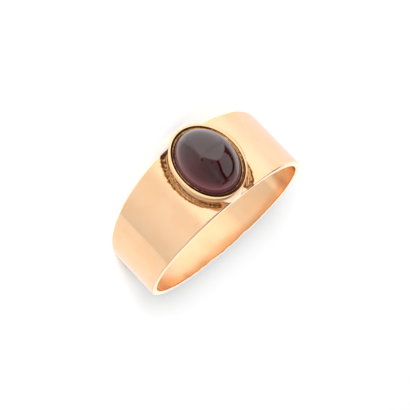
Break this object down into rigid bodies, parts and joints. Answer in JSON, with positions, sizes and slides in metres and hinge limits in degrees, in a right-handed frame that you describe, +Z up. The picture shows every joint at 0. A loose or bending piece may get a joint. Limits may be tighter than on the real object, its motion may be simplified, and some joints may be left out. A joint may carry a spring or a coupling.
{
  "type": "cabochon ring",
  "caption": "Wide tapered band finger ring with an oval cabochon standing up in a collar bezel, soldered to the band with a rough seam at its foot.",
  "frame": {"origin": "centre of the finger hole, on its axis and midway between the band's edges", "axes": "+X towards the stone, +Z up as the ring lies on its side on a surface, with its lower edge level, +Y across the finger; the finger hole's axis leans 6.9 degrees from +Z, away from the stone"},
  "size_m": [0.0233, 0.019, 0.0084],
  "materials": {
    "gold": "polished",
    "garnet": "polished"
  },
  "bodies": {
    "root": {"band_with_bezel": "gold", "cabochon": "garnet"}
  },
  "joints": []
}
